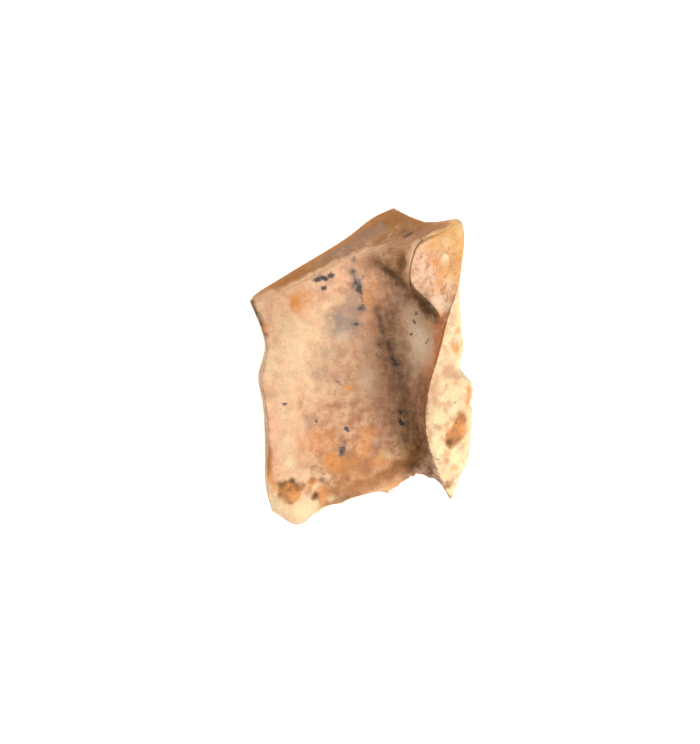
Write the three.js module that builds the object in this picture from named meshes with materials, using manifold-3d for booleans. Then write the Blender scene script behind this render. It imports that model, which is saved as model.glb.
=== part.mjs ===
// A ceratopsian cheek tooth, fossilised: life size, lying on its far flank with the near flank up.
// +X points from the tongue side to the cheek side, +Y from the broken root to the worn crown, +Z up.

import {
	BoxGeometry,
	BufferGeometry,
	CatmullRomCurve3,
	Float32BufferAttribute,
	Group,
	MathUtils,
	Mesh,
	MeshStandardMaterial,
	SphereGeometry,
	Vector3,
} from 'three';
import { mergeVertices } from 'three/addons/utils/BufferGeometryUtils.js';
import Module from 'manifold-3d';

// mesh density across, along and through the tooth

const columns = 34;
const rows = 44;
const layers = 8;

// the lines below are drawn on a plan grid: one grid step in millimetres, and the step at the tooth's middle

const gridStep = 0.105;
const gridMiddle = [ 361.3, 365.8 ];

// the lines across each flank, from the tongue side, and the mesh column that each one runs on

const nearLines = {
	tongueEdge: 0,
	plate: 6,
	innerPlate: 10,
	outerPlate: 15,
	valley: 19,
	wallFoot: 23,
	enamelMargin: 28,
};
const farLines = {
	farTongueEdge: 0,
	farPlate: 6,
	farInnerPlate: 13,
	farValley: 20,
	farMargin: 34,
};

// the lines down each side, from the near flank to the far one, at fractions of the way through

const tongueLines = {
	tongueEdge: 0,
	tongueSide: 0.5,
	farTongueEdge: 1,
};
const cheekLines = {
	crest: 0,
	cheek: 0.25,
	bulge: 0.5,
	farCheek: 0.75,
	farMargin: 1,
};

// depths and slopes, in millimetres

const enamelHollow = 0.35; // the near enamel face sags between its margin and the carina
const wallBow = 0.25; // the wall under the crest bows in
const enamelReach = 0.34; // fraction of the tooth's length that the near enamel face runs down
const wearHollow = 0.5; // the chewing surface is worn hollow
const baseHollow = 1.6; // the broken root end is eroded inward
const baseRoughness = 0.45;
const rootLips = [ // lips on the broken end, across the tooth
	{ place: 3, reach: 0.75, drop: 0.45 },
	{ place: - 2.4, reach: 0.9, drop: 0.3 },
];
const weathering = 0.1; // gentle unevenness of the root surfaces
const trimHeight = 1.2; // height of the block that takes the three resting spots down to one level
const wearNormal = new Vector3( - 0.39, 0.87, 0.31 ).normalize(); // the way the chewing surface faces

// lengthwise lines, each from the worn crown down to the broken root: grid steps across and down, then
// the height in millimetres

const lines = {

	// near flank

	tongueEdge: [
		[ 252, 301, 7.2 ], [ 263, 330, 8.3 ], [ 267, 350, 8.7 ], [ 262, 378, 8.9 ], [ 266, 410, 9 ],
		[ 269, 440, 9.1 ], [ 268, 470, 9 ], [ 268, 494, 8.4 ], [ 272, 511.5, 7 ],
	],
	plate: [
		[ 300, 283, 8.6 ], [ 301, 320, 8.9 ], [ 297, 370, 8.9 ], [ 297, 430, 8.9 ], [ 296, 480, 8.8 ],
		[ 299, 525, 6.6 ],
	],
	innerPlate: [
		[ 350, 257, 8.6 ], [ 347, 300, 8.3 ], [ 345, 360, 8 ], [ 340, 420, 8 ], [ 331, 468, 8 ],
		[ 322, 507.5, 6.4 ],
	],
	outerPlate: [
		[ 366, 252, 8.9 ], [ 367, 285, 7.9 ], [ 368, 320, 7.4 ], [ 372, 360, 7.1 ], [ 376, 400, 6.9 ],
		[ 378, 440, 6.9 ], [ 375, 470, 7 ], [ 371, 493.5, 5.6 ],
	],
	valley: [
		[ 379, 248, 9.8 ], [ 381, 262, 9.9 ], [ 385, 279, 8 ], [ 387, 312, 6.7 ], [ 391, 346, 6.2 ],
		[ 401, 380, 5.8 ], [ 408, 410, 5.6 ], [ 411, 440, 5.6 ], [ 407, 461, 5.8 ],
		[ 403, 485, 5.6 ],
	],
	wallFoot: [
		[ 398, 249, 12 ], [ 400, 267, 12.4 ], [ 405, 286, 11 ], [ 413, 300, 9.2 ], [ 423, 323, 8 ],
		[ 422, 348, 7.5 ], [ 417, 376, 7 ], [ 415, 410, 6.7 ], [ 416, 445, 6.8 ], [ 422, 475, 6.8 ],
	],
	enamelMargin: [
		[ 412, 249, 13.9 ], [ 409, 262, 14.4 ], [ 409, 276, 14.4 ], [ 413, 286, 14.1 ],
		[ 422, 296, 13.6 ], [ 433, 306, 13.1 ], [ 439.5, 317, 12.6 ], [ 435, 333, 11.7 ],
		[ 431, 352, 11.1 ], [ 424, 376, 10.5 ], [ 419, 402, 10.2 ], [ 418, 430, 9.9 ], [ 424, 457, 9 ],
		[ 438, 479.5, 8.2 ],
	],
	crest: [
		[ 461.5, 222.5, 10.8 ], [ 464, 234, 11.2 ], [ 463.3, 250, 11.4 ], [ 461, 268, 11.8 ],
		[ 458.5, 285, 12.1 ], [ 453.5, 301, 12.6 ], [ 448, 316, 12.9 ], [ 442, 339, 13.2 ],
		[ 437, 359, 13.4 ], [ 429, 386, 13.5 ], [ 425, 412, 13.5 ], [ 426, 436, 13.2 ],
		[ 432, 457, 12.2 ], [ 441.5, 480, 10.2 ], [ 450, 499.5, 8 ],
	],

	// cheek side, between the crest and the far margin

	cheek: [
		[ 457, 218.8, 9.6 ], [ 461, 250, 9.8 ], [ 459, 286, 10.2 ], [ 457, 320, 11 ],
		[ 453, 355, 11.3 ], [ 450, 385, 11.6 ], [ 449, 410, 11.8 ], [ 450, 440, 11.6 ],
		[ 453, 465, 10.4 ], [ 454, 484, 8.6 ], [ 452.3, 498, 7.7 ],
	],
	bulge: [
		[ 447, 220, 7.6 ], [ 455, 255, 7.8 ], [ 456, 284, 8 ], [ 460.6, 306, 8.2 ], [ 462.6, 330, 8 ],
		[ 463.6, 352, 7.8 ], [ 460.4, 361, 7.6 ], [ 460.6, 369, 7.4 ], [ 471.4, 380.5, 7.4 ],
		[ 473.5, 391, 7.3 ], [ 471.5, 400, 7.2 ], [ 472.5, 413, 7.1 ], [ 471.5, 432, 6.9 ],
		[ 470.5, 450, 6.8 ], [ 468, 463, 6.9 ], [ 461.5, 473, 7 ], [ 458, 483, 7 ], [ 453, 496, 7.3 ],
	],
	farCheek: [
		[ 425, 221.4, 4.8 ], [ 436, 255, 3.6 ], [ 445, 300, 4.2 ], [ 453, 350, 4.2 ], [ 460, 400, 3.6 ],
		[ 461, 440, 3.2 ], [ 455, 472, 4.6 ], [ 451, 493, 6.8 ],
	],

	// far flank, which the tooth lies on

	farMargin: [
		[ 394, 206.5, 0.5 ], [ 401, 228, - 0.3 ], [ 408, 255, - 0.2 ], [ 416, 290, 0.8 ],
		[ 428, 335, 1.2 ], [ 438, 385, 0.8 ], [ 446, 425, - 0.3 ], [ 449, 450, - 0.1 ],
		[ 449, 470, 2.6 ], [ 450, 484, 5.6 ],
	],
	farValley: [
		[ 374, 216, 0.9 ], [ 381, 260, 2.8 ], [ 388, 310, 3.4 ], [ 394, 360, 3.3 ], [ 403, 420, 2.8 ],
		[ 408, 455, 2.6 ], [ 408, 474, 3.4 ],
	],
	farInnerPlate: [
		[ 344, 239, 3.2 ], [ 345, 300, 2.8 ], [ 343, 370, 1.9 ], [ 345, 440, 1.2 ], [ 350, 494, 1.6 ],
	],
	farPlate: [
		[ 300, 266, 4.7 ], [ 300, 330, 3.2 ], [ 296, 400, 1.3 ], [ 290, 460, 0.1 ],
		[ 288, 490, - 0.3 ], [ 302, 519, 1.2 ],
	],
	farTongueEdge: [
		[ 261, 290, 6.2 ], [ 265, 335, 4.6 ], [ 265, 375, 3.2 ], [ 268, 430, 1.8 ], [ 270, 480, 0.9 ],
		[ 278, 510, 1.6 ],
	],

	// tongue side

	tongueSide: [
		[ 249, 300, 6.9 ], [ 260.5, 328, 6.5 ], [ 264.5, 347, 6 ], [ 258, 375, 5.6 ],
		[ 262, 402, 5.3 ], [ 264.5, 432, 5 ], [ 264.5, 460, 4.7 ], [ 265.5, 486, 4.5 ],
		[ 271, 508, 4.6 ],
	],

};

const curves = {};

for ( const [ name, points ] of Object.entries( lines ) ) {

	const vectors = points.map( ( [ across, down, height ] ) => new Vector3(
		( across - gridMiddle[ 0 ] ) * gridStep,
		( gridMiddle[ 1 ] - down ) * gridStep,
		height
	) );

	curves[ name ] = new CatmullRomCurve3( vectors, false, 'centripetal' );

}

// a smooth curve through the named lines at the fraction v of their length, read at the place s

const stations = new Map();

function across( places, v, s ) {

	const key = Object.keys( places ).join() + v;

	if ( ! stations.has( key ) ) {

		const points = Object.keys( places ).map( ( name ) => curves[ name ].getPointAt( v ) );

		stations.set( key, new CatmullRomCurve3( points, false, 'centripetal' ) );

	}

	const knots = Object.values( places );
	let i = 0;

	while ( i < knots.length - 2 && s > knots[ i + 1 ] ) i ++;

	const within = ( s - knots[ i ] ) / ( knots[ i + 1 ] - knots[ i ] );

	return stations.get( key ).getPoint( ( i + within ) / ( knots.length - 1 ) );

}

function nearFlank( u, v ) {

	const column = u * columns;
	const marginColumn = nearLines.enamelMargin;

	if ( column <= marginColumn ) return across( nearLines, v, column );

	const margin = curves.enamelMargin.getPointAt( v );
	const crest = curves.crest.getPointAt( v );
	const fraction = ( column - marginColumn ) / ( columns - marginColumn );
	const sag = v < enamelReach ? enamelHollow : wallBow;

	margin.lerp( crest, fraction );
	margin.z -= sag * Math.sin( Math.PI * fraction );

	return margin;

}

function farFlank( u, v ) {

	return across( farLines, v, u * columns );

}

// low swells that keep the root surfaces from looking machined

function swell( p ) {

	const broad = Math.sin( 0.55 * p.x + 0.4 * p.y + 0.6 ) * Math.sin( 0.5 * p.y - 0.35 * p.x );
	const fine = Math.sin( 1.3 * p.x - 0.6 * p.y + 1.9 ) * Math.sin( 0.9 * p.y + 0.7 * p.x );

	return broad + 0.5 * fine;

}

// u runs from the tongue side to the cheek side, v from crown to root, w from the near flank to the far one

function toothPoint( u, v, w ) {

	const near = nearFlank( u, v );
	const far = farFlank( u, v );
	const point = near.clone().lerp( far, w );

	const tongue = across( tongueLines, v, w ).sub( nearFlank( 0, v ).lerp( farFlank( 0, v ), w ) );
	const cheek = across( cheekLines, v, w ).sub( nearFlank( 1, v ).lerp( farFlank( 1, v ), w ) );

	point.addScaledVector( tongue, 1 - u );
	point.addScaledVector( cheek, u );

	const inside = Math.sin( Math.PI * w ) * Math.sin( Math.PI * u );

	if ( v === 0 ) point.addScaledVector( wearNormal, - wearHollow * inside );

	if ( v === 1 ) {

		const ragged = Math.sin( 1.3 * point.x + 0.8 ) * Math.cos( 1.1 * point.z + 0.7 * point.x );

		point.y += ( baseHollow + baseRoughness * ragged ) * inside;

	}

	for ( const { place, reach, drop } of rootLips ) {

		const lip = Math.exp( - ( ( ( point.x - place ) / reach ) ** 2 ) );

		point.y -= drop * lip * ( 1 - w ) * MathUtils.smoothstep( v, 0.93, 1 );

	}

	const rootward = MathUtils.smoothstep( v, 0.02, 0.25 ) * ( 1 - MathUtils.smoothstep( v, 0.94, 1 ) );
	const flank = Math.cos( Math.PI * w );

	point.z += weathering * rootward * flank * swell( point ) * Math.min( 1, 6 * u, 6 * ( 1 - u ) );

	return point;

}

const wasm = await Module();

wasm.setup();

function toManifold( geometry ) {

	geometry.deleteAttribute( 'normal' );
	geometry.deleteAttribute( 'uv' );

	const merged = mergeVertices( geometry, 1e-4 );
	const vertProperties = new Float32Array( merged.attributes.position.array );
	const triVerts = new Uint32Array( merged.index.array );

	return new wasm.Manifold( new wasm.Mesh( { numProp: 3, vertProperties, triVerts } ) );

}

function toGeometry( solid ) {

	const mesh = solid.getMesh();
	const geometry = new BufferGeometry();

	geometry.setAttribute( 'position', new Float32BufferAttribute( mesh.vertProperties, 3 ) );
	geometry.setIndex( Array.from( mesh.triVerts ) );
	geometry.computeVertexNormals();

	return geometry;

}

// the whole tooth: a subdivided block whose six faces become the six natural faces of the tooth

const block = new BoxGeometry( 1, 1, 1, columns, rows, layers );
const position = block.attributes.position;

for ( let i = 0; i < position.count; i ++ ) {

	const u = position.getX( i ) + 0.5;
	const v = 0.5 - position.getY( i );
	const w = 0.5 - position.getZ( i );
	const p = toothPoint( MathUtils.clamp( u, 0, 1 ), MathUtils.clamp( v, 0, 1 ), MathUtils.clamp( w, 0, 1 ) );

	position.setXYZ( i, p.x, p.y, p.z );

}

let body = toManifold( block );

// the resting spots are worn to one level

const trim = new BoxGeometry( 60, 60, trimHeight );

trim.translate( 0, 0, - trimHeight / 2 );
body = body.subtract( toManifold( trim ) );

// eroded pits near the tongue side of the root: the middle of each, then its three radii

const pits = {
	cornerPit: { middle: [ - 7.6, - 13.1, 9.3 ], radii: [ 1.35, 1.5, 1.2 ] },
	smallPit: { middle: [ - 4.8, - 13.6, 8.5 ], radii: [ 0.45, 0.5, 0.9 ] },
};

for ( const { middle, radii } of Object.values( pits ) ) {

	const dish = new SphereGeometry( 1, 16, 12 );

	dish.scale( ...radii );
	dish.translate( ...middle );
	body = body.subtract( toManifold( dish ) );

}

// the origin is on the surface the tooth lies on, under the middle of its outline

const geometry = toGeometry( body );

geometry.computeBoundingBox();

const middle = geometry.boundingBox.getCenter( new Vector3() );

geometry.translate( - middle.x, - middle.y, 0 );

const fossil = new MeshStandardMaterial( { color: 0xe8bf95, roughness: 0.62, metalness: 0 } );
const tooth = new Mesh( geometry, fossil );

tooth.name = 'tooth';

const part = new Group();

part.add( tooth );

export default part;
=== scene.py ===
import math

import bmesh
import bpy
import numpy as np
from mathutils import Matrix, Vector, noise
from mathutils.bvhtree import BVHTree
from mathutils.kdtree import KDTree


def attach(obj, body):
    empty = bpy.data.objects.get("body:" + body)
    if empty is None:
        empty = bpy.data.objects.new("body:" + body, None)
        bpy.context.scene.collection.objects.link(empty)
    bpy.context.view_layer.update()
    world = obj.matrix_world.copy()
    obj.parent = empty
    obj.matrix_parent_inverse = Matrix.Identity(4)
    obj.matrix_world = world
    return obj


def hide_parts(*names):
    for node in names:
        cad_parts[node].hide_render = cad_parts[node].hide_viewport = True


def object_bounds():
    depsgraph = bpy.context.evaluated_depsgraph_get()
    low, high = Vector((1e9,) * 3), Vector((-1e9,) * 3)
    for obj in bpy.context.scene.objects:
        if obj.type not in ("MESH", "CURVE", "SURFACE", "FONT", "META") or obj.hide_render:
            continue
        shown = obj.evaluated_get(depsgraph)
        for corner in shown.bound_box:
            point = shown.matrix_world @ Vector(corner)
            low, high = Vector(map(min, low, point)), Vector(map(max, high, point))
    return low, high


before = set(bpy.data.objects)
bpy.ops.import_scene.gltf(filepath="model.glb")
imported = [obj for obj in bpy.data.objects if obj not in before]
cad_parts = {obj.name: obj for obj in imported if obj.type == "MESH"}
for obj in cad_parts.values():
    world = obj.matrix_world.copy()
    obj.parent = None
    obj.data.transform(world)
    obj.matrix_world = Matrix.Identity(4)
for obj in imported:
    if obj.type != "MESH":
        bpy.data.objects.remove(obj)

cadLow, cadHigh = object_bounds()
scene = bpy.context.scene

# features are placed on a plan grid over the tooth: steps across and down, seen from above
plan = {"step": 0.000105, "middleAcross": 361.24, "middleDown": 365.75}


def fromPlan(across, down, height):
    x = (across - plan["middleAcross"]) * plan["step"]
    y = (plan["middleDown"] - down) * plan["step"]
    return Vector((x, y, height))


def toPlan(points):
    across = points[:, 0] / plan["step"] + plan["middleAcross"]
    down = plan["middleDown"] - points[:, 1] / plan["step"]
    return np.stack([across, down], 1)


def ramp(low, high, values):  # smooth step from 0 at low to 1 at high
    t = np.clip((values - low) / (high - low), 0.0, 1.0)
    return t * t * (3.0 - 2.0 * t)


def bell(distance, reach=1.0):  # 1 at no distance, nearly 0 at twice the reach
    return np.exp(-((distance / reach) ** 2))


def atLeast(least, mask):
    return least + (1.0 - least) * mask


def pathDistance(spots, path):  # grid steps from each spot to an open path, and how far along it
    best = np.full(len(spots), np.inf)
    along = np.zeros(len(spots))
    for i in range(len(path) - 1):
        a, b = np.array(path[i], float), np.array(path[i + 1], float)
        t = np.clip((spots - a) @ (b - a) / ((b - a) @ (b - a)), 0.0, 1.0)
        d = np.linalg.norm(spots - (a + t[:, None] * (b - a)), axis=1)
        nearer = d < best
        best[nearer] = d[nearer]
        along[nearer] = (i + t[nearer]) / (len(path) - 1)
    return best, along


def lineGap(spots, name):  # grid steps from each spot to a marked line
    return pathDistance(spots, marks[name])[0]


def insideDistance(spots, outline):  # grid steps inside a closed outline, negative outside
    tiny = 1e-12  # keeps a level side from dividing by zero
    edge, _ = pathDistance(spots, list(outline) + [outline[0]])
    inside = np.zeros(len(spots), bool)
    for i in range(len(outline)):
        (x1, y1), (x2, y2) = outline[i - 1], outline[i]
        crosses = (y1 > spots[:, 1]) != (y2 > spots[:, 1])
        slant = (x2 - x1) * (spots[:, 1] - y1) / (y2 - y1 + tiny) + x1
        inside ^= crosses & (spots[:, 0] < slant)
    return np.where(inside, edge, -edge)


def ovalReach(spots, across, down, halfWide, halfHigh, turn=0.0):  # 0 at the middle, 1 at the rim
    c, s = math.cos(math.radians(turn)), math.sin(math.radians(turn))
    x, y = (spots - np.array([across, down])).T
    return np.hypot((x * c - y * s) / halfWide, (x * s + y * c) / halfHigh)


def noiseAt(points, size, seed):  # smooth noise from -1 to 1 with features of the given size
    shift = Vector((seed, seed * 1.7, -seed))  # each seed looks at another place in the noise
    return np.array([noise.noise(Vector(p) / size + shift) for p in points])


# lines on the tooth, in grid steps
marks = {
    "crack": [
        (411.6, 290), (410.2, 284), (409.3, 275), (410.3, 266), (412.6, 257), (415, 250), (418, 245.5),
        (422, 241),
    ],
    "slit": [(404.5, 236.8), (408.4, 234.8), (412.3, 232.8)],
    "tipLine": [(425, 239.4), (430, 237.6), (436, 236), (439, 234.6)],
    "crackRim": [(408, 284), (406.8, 275), (407.6, 263), (410, 254), (413.5, 246), (419, 240)],
    "crest": [
        (458.5, 288), (456.4, 295), (452.2, 306), (448, 317.5), (444.6, 330), (441, 346), (437, 360),
        (431.5, 377), (427.5, 394), (425.2, 412), (426, 436), (431, 454),
    ],
    "crestFoot": [
        (455.6, 294.5), (451.2, 305.5), (447, 317), (443.5, 330), (439.8, 346), (435.7, 360), (430, 377),
        (426, 394), (423.8, 412), (424.6, 434),
    ],
    "crease": [
        (422, 442), (417, 451), (410, 459), (402, 465.5), (392, 472), (381, 478), (368, 483), (350, 487),
    ],
    "thinEdge": [
        (393, 490), (403, 485), (408.3, 482.3), (413, 479.2), (417.6, 476.5), (422, 475), (428.5, 475.8),
    ],
    "lip": [(424, 462), (413, 469), (402, 476), (390, 484), (376, 489)],
    "lobeFoot": [(430.5, 452), (432.5, 456.5), (435.5, 459), (438.5, 459)],
    "layer": [(470, 464), (463, 470), (456, 477), (449, 484)],
    "plateFold": [(284, 372), (293, 400), (302, 428), (306, 458)],
    "innerFold": [(358, 395), (352, 410), (347, 425), (341, 447), (335, 470)],
    "valleyStreak": [
        (377, 308), (380, 322), (385, 336), (390, 350), (395, 362), (399, 376), (402, 388), (406, 402),
    ],
    "ledge": [(433.5, 366), (434.5, 378), (437.5, 387), (440.5, 396)],
    "ledges": [(453, 381), (460, 384), (468, 389)],
    "bandMiddle": [(268, 291), (300, 273), (330, 256), (352, 242), (368, 231), (386, 226)],
    "valley": [
        (383, 290), (386, 312), (390, 334), (395, 356), (400, 376), (405, 396), (409, 416), (412, 440),
    ],
    "shoulderFoot": [(374, 262), (385, 268), (394, 276), (403, 286), (414, 294), (425, 303), (434, 313)],
    "ridge": [(252, 301), (275, 293), (300, 283), (325, 270), (350, 257), (368, 251), (385, 247)],
    "tongueRim": [
        (253, 303), (258, 318), (264, 335), (266, 348), (260, 376), (264, 410), (267, 440), (267, 475),
    ],
    "crestShade": [(432, 372), (424, 392), (420, 412), (420, 434), (424, 456)],
    "flankEdge": [(266, 440), (268, 460), (272, 480), (276, 490)],
    "enamelFoot": [(409, 287), (414, 294.5), (423, 302.5), (431, 310), (437, 318)],
    "farEdge": [
        (256, 296), (300, 268), (345, 240), (375, 219), (393, 208), (405, 214), (425, 221), (450, 219),
    ],
    "baseEdge": [(318, 509), (335, 504), (356, 497), (362, 494)],
    "upperRidge": [(424, 238), (437, 235), (445, 231.5), (448, 229)],
    "upperEdge": [(424, 238), (437, 235), (445, 231.5), (451, 226), (457, 219)],
}

# closed outlines of areas on the near flank, in grid steps
faces = {
    "enamel": [
        (458, 217), (466, 232), (466, 262), (462, 285), (456, 296), (450, 309), (446, 322), (440, 316),
        (433, 306), (425, 298), (416, 290), (410, 281), (408.5, 268), (410.5, 258), (415.5, 248),
        (424, 240), (436, 237), (446, 231), (452, 225),
    ],
    "cheekPit": [
        (462.5, 409), (467, 413), (469, 424), (468, 432), (462, 439), (455.5, 445.5), (449.5, 450),
        (444.5, 444), (445.5, 434), (453, 424), (458, 416),
    ],
    "lobe": [(428, 428), (437, 426), (442, 436), (441, 450), (438, 457), (433, 455), (429, 445)],
}

# the tooth's fine surface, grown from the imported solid

# lengths in metres, but the reach of a line in grid steps
surface = {
    "mergeWithin": 1e-7,
    "remeshDepth": 8,
    "cell": 0.00017,
    "sharpAngle": math.radians(48),
    "sharpStep": 0.0001,
    "sharpReach": 0.00012,
    "ridgeReach": 4.0,
    "upperRidgeReach": 2.5,
    "lipReach": 5.0,
    "lipHeight": 0.004,
    "lipTimes": 3,
    "firstFactor": 0.5,
    "firstPasses": 9,
    "lastFactor": 0.25,
    "lastPasses": 1,
    "returnFrom": 0.00001,
    "returnFully": 0.00005,
    "fineLines": ("crack", "crestFoot", "lobeFoot"),
    "fineReach": 2.4,
    "fineFacing": -0.02,
    "fineHeight": 0.0018,
}


def nodeCopy(name):
    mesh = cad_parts[name].data.copy()
    shape = bmesh.new()
    shape.from_mesh(mesh)
    bmesh.ops.remove_doubles(shape, verts=shape.verts, dist=surface["mergeWithin"])
    shape.to_mesh(mesh)
    shape.free()
    piece = bpy.data.objects.new(name + "Surface", mesh)
    scene.collection.objects.link(piece)
    return piece


def sharpPlaces(shape):  # places along the sharp edges of the solid
    places = []
    for edge in shape.edges:
        if edge.is_manifold and edge.calc_face_angle() > surface["sharpAngle"]:
            a, b = (vert.co.copy() for vert in edge.verts)
            count = max(1, round((b - a).length / surface["sharpStep"]))
            places += [a.lerp(b, i / count) for i in range(count + 1)]
    tree = KDTree(len(places))
    for index, place in enumerate(places):
        tree.insert(place, index)
    tree.balance()
    return tree


def sharpGap(points):  # metres from each point to the nearest sharp edge of the solid
    return np.array([sharp.find(point)[2] for point in points])


def remesh(piece):  # even cells that keep the sharp edges
    longest = max(high - low for low, high in zip(cadLow, cadHigh))
    modifier = piece.modifiers.new("remesh", "REMESH")
    modifier.mode = "SHARP"
    modifier.octree_depth = surface["remeshDepth"]
    modifier.scale = longest / (surface["cell"] * 2 ** surface["remeshDepth"])
    modifier.use_remove_disconnected = False
    evaluated = piece.evaluated_get(bpy.context.evaluated_depsgraph_get())
    finished = bpy.data.meshes.new_from_object(evaluated)
    piece.modifiers.clear()
    piece.data = finished


def smooth(shape, factor, passes):  # sharp edges stay, apart from the near ridges and the thin lip
    points = np.array([vert.co for vert in shape.verts])
    spots = toPlan(points)
    free = sharpGap(points) > surface["sharpReach"]
    free |= lineGap(spots, "ridge") < surface["ridgeReach"]
    free |= lineGap(spots, "upperRidge") < surface["upperRidgeReach"]
    lip = (lineGap(spots, "thinEdge") < surface["lipReach"]) & (points[:, 2] > surface["lipHeight"])
    for chosen, times in ((free | lip, passes), (lip, surface["lipTimes"] * passes)):
        loose = [vert for vert, isLoose in zip(shape.verts, chosen) if isLoose]
        for _ in range(times):
            bmesh.ops.smooth_vert(shape, verts=loose, factor=factor,
                                  use_axis_x=True, use_axis_y=True, use_axis_z=True)
    shape.normal_update()


def returnToSolid(shape):  # points that strayed from the solid go back to it, the others stay smooth
    for vert in shape.verts:
        place, _, _, distance = solid.find_nearest(vert.co)
        share = float(ramp(surface["returnFrom"], surface["returnFully"], distance))
        vert.co = vert.co.lerp(place, share)
    shape.normal_update()


def refineFineLines(shape):  # halves the edges beside the finest lines of the near flank
    points = np.array([vert.co for vert in shape.verts])
    facing = np.array([vert.normal.z for vert in shape.verts])
    close = np.zeros(len(points), bool)
    for name in surface["fineLines"]:
        close |= lineGap(toPlan(points), name) < surface["fineReach"]
    close &= (facing > surface["fineFacing"]) & (points[:, 2] > surface["fineHeight"])
    edges = [edge for edge in shape.edges if all(close[vert.index] for vert in edge.verts)]
    bmesh.ops.subdivide_edges(shape, edges=edges, cuts=1, use_grid_fill=True, smooth=0.0)
    shape.normal_update()


def readPoints(mesh, what):
    flat = np.zeros(len(mesh.vertices) * 3, np.float32)
    mesh.vertices.foreach_get(what, flat)
    return flat.reshape(-1, 3).astype(float)


print("tooth surface: remesh and refine")
tooth = nodeCopy("tooth")
shape = bmesh.new()
shape.from_mesh(tooth.data)
shape.normal_update()
solid = BVHTree.FromBMesh(shape)
sharp = sharpPlaces(shape)
shape.free()
remesh(tooth)
shape = bmesh.new()
shape.from_mesh(tooth.data)
smooth(shape, surface["firstFactor"], surface["firstPasses"])
returnToSolid(shape)
smooth(shape, surface["lastFactor"], surface["lastPasses"])
refineFineLines(shape)
shape.to_mesh(tooth.data)
shape.free()
print("tooth surface:", sum(len(face.vertices) - 2 for face in tooth.data.polygons), "triangles")

# relief of the surface

# each fade is 0 at its first value and 1 at its second
fades = {
    # parts of a normal
    "facesUp": (-0.05, 0.25),
    "facesUpPainted": (-0.1, 0.15),
    "facesUpStained": (0.0, 0.25),
    "facesDown": (0.2, -0.1),
    "facesRight": (0.3, 0.6),
    "facesCheek": (0.1, 0.3),
    "facesRootEnd": (0.1, 0.5),
    "facesWorn": (0.72, 0.9),
    "facesWornPainted": (0.7, 0.9),
    # metres above the floor
    "aboveWall": (0.003, 0.0045),
    "stainedHeight": (0.003, 0.006),
    "lipHeight": (0.004, 0.005),
    "brokenHeight": (0.0062, 0.0048),
    # steps across
    "plateAcross": (296, 318),
    "middleAcross": (310, 350),
    "troughAcross": (372, 384),
    "shoulderAcross": (405, 412),
    "dentsAcross": (430, 410),
    "lumpyAcross": (432, 415),
    "cheekAcross": (440, 446),
    "leftOfCrest": (1.5, -0.5),
    "rightOfCrest": (-0.3, 0.6),
    # steps down
    "wornDown": (310, 300),
    "shoulderDown": (300, 285),
    "enamelDown": (298, 290),
    "cheekDown": (288, 293),
    "cheekLayersDown": (300, 330),
    "lumpyDown": (385, 430),
    "plateDown": (395, 440),
    "dentsDown": (400, 460),
    "brokenDown": (470, 490),
    "stripStart": (304, 326),
    "stripEnd": (455, 395),
    # steps inside an outline
    "enamelEdge": (-0.8, 0.8),
    "pitEdge": (-0.6, 1.6),
    "lobeEdge": (-2.0, 4.0),
    # metres from a sharp edge, heights of noise, reaches of ovals, strips and strokes, and warmth
    "sharpEdges": (0.0001, 0.0005),
    "layerStep": (0.0, 0.12),
    "dentRim": (0.28, 0.5),
    "cornerFillEdge": (1.05, 0.86),
    "stripEdge": (1.5, 0.45),
    "stainEdge": (1.7, 0.3),
    "grainEdge": (1.5, 0.35),
    "strokeEdge": (1.7, 0.2),
    "warmth": (-4, 40),
}

# uneven relief: size of its features, seed, height, and the squeeze that draws it out along an axis
relief = {
    "broad": {"size": 0.0026, "seed": 3.0, "height": 0.00005},
    "middling": {"size": 0.0013, "seed": 27.0, "height": 0.00003},
    "fine": {"size": 0.0008, "seed": 7.0, "height": 0.00002},
    "lumps": {"size": 0.0009, "seed": 61.0, "height": 0.00007},
    "smallLumps": {"size": 0.0004, "seed": 63.0, "height": 0.000035},
    "rootGrooves": {"size": 0.0007, "seed": 13.0, "height": 0.000042, "squeeze": (1.0, 0.14, 1.0)},
    "broken": {"size": 0.0011, "seed": 17.0, "height": 0.00009},
    "smallBroken": {"size": 0.00045, "seed": 19.0, "height": 0.000045},
    "cheekPit": {"size": 0.0003, "seed": 11.0, "height": 0.00009},
    "cornerFill": {"size": 0.0003, "seed": 5.0, "height": 0.00014},
    "cheekLayers": {"size": 0.0012, "seed": 41.0, "height": 0.00005},
    "dents": {"size": 0.0005, "seed": 43.0, "height": 0.00005},
    "uprightRidges": {"size": 0.0003, "seed": 2.0, "height": 0.00006, "squeeze": (1.0, 0.2, 0.3)},
}

# lines cut into the near flank, or raised where the depth is negative: line, half width, depth, end fade
grooves = [
    ("crack", 0.8, 0.0001, 0.08),
    ("tipLine", 0.9, 0.00005, 0.08),
    ("slit", 1.0, 0.00006, 0.08),
    ("crackRim", 2.2, -0.00008, 0.08),
    ("crestFoot", 1.0, 0.0001, 0.08),
    ("crease", 5.0, 0.00014, 0.3),
    ("lip", 6.0, -0.00018, 0.08),
    ("lobeFoot", 1.2, 0.00014, 0.08),
    ("layer", 1.3, 0.00012, 0.08),
    ("ledge", 1.6, 0.00014, 0.08),
    ("ledges", 1.5, 0.00012, 0.08),
    ("valleyStreak", 4.0, 0.00005, 0.08),
    ("plateFold", 5.0, -0.00007, 0.08),
    ("innerFold", 4.5, -0.00006, 0.08),
    ("shoulderFoot", 3.0, 0.00012, 0.08),
    ("valley", 3.0, 0.0001, 0.08),
]

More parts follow.
